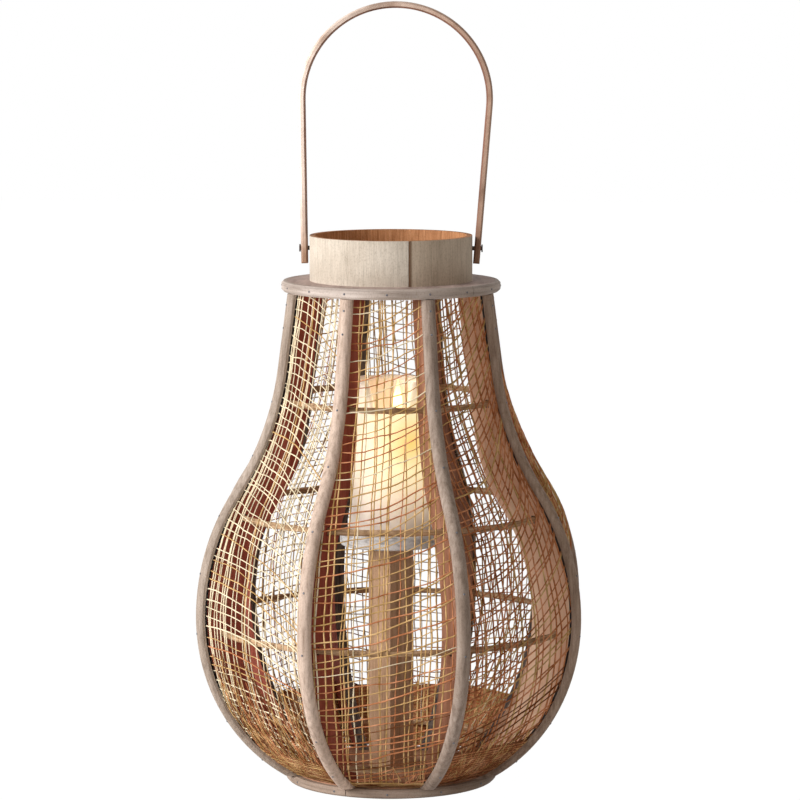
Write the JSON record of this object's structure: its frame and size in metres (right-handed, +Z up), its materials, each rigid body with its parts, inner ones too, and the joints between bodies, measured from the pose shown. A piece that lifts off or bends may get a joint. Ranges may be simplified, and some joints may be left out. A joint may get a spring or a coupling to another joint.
{
  "type": "candle lantern",
  "caption": "Pear-shaped garden candle lantern: bent wooden ribs with fibre-mesh panels, cane hoops, a collar with a swinging bail, and a pillar candle on a pedestal.",
  "frame": {"origin": "on the floor under the middle of the base", "axes": "+Z up through the collar, -Y to the front, +X to the right seen from the front; the bail swings about X"},
  "size_m": [0.3522, 0.3522, 0.7215],
  "materials": {
    "grey_cane": "weathered grey-beige half-round cane",
    "board_plywood": "red-brown plywood faces with grey edges",
    "base_plywood": "plain plywood disc",
    "flange_wood": "pinkish brown plywood",
    "collar_wood": "pale bent-wood strip",
    "handle_cane": "tan bent cane",
    "hoop_cane": "olive-tan split cane",
    "post_wood": "tan sawn timber",
    "plate_wood": "grey-white painted plywood edge",
    "fibre_mesh": "open-weave plant-fibre mesh",
    "candle_wax": "ivory wax",
    "wick_cotton": "charred cotton",
    "brad_steel": "rust-dark steel brads",
    "rivet_steel": "dull steel"
  },
  "bodies": {
    "lantern_frame": {"base_disc": "base_plywood", "base_band": "grey_cane", "rib_board_1": "board_plywood", "rib_board_2": "board_plywood", "rib_board_3": "board_plywood", "rib_board_4": "board_plywood", "rib_board_5": "board_plywood", "rib_board_6": "board_plywood", "rib_board_7": "board_plywood", "rib_board_8": "board_plywood", "rib_batten_1": "grey_cane", "rib_batten_2": "grey_cane", "rib_batten_3": "grey_cane", "rib_batten_4": "grey_cane", "rib_batten_5": "grey_cane", "rib_batten_6": "grey_cane", "rib_batten_7": "grey_cane", "rib_batten_8": "grey_cane", "mesh_panel_1": "fibre_mesh", "mesh_panel_2": "fibre_mesh", "mesh_panel_3": "fibre_mesh", "mesh_panel_4": "fibre_mesh", "mesh_panel_5": "fibre_mesh", "mesh_panel_6": "fibre_mesh", "mesh_panel_7": "fibre_mesh", "mesh_panel_8": "fibre_mesh", "foot_hoop": "hoop_cane", "lower_hoop": "hoop_cane", "middle_hoop": "hoop_cane", "upper_hoop": "hoop_cane", "top_plate": "flange_wood", "top_band": "grey_cane", "collar_hoop": "collar_wood", "bail_rivets": "rivet_steel", "pedestal_post": "post_wood", "candle_plate": "plate_wood", "pedestal_screws": "rivet_steel", "rib_brads": "brad_steel", "top_band_brads": "brad_steel", "base_band_brads": "brad_steel"},
    "bail": {"bail_handle": "handle_cane"},
    "candle": {"candle_wax": "candle_wax", "candle_wick": "wick_cotton"}
  },
  "joints": [
    {"name": "bail_swing", "type": "hinge", "parent": "lantern_frame", "child": "bail", "pos_m": [0, 0, 0.4955], "axis": [1, 0, 0], "range_deg": [-108, 108]},
    {"name": "candle_lift", "type": "slide", "parent": "lantern_frame", "child": "candle", "axis": [0, 0, 1], "range_m": [0, 0.285]}
  ]
}
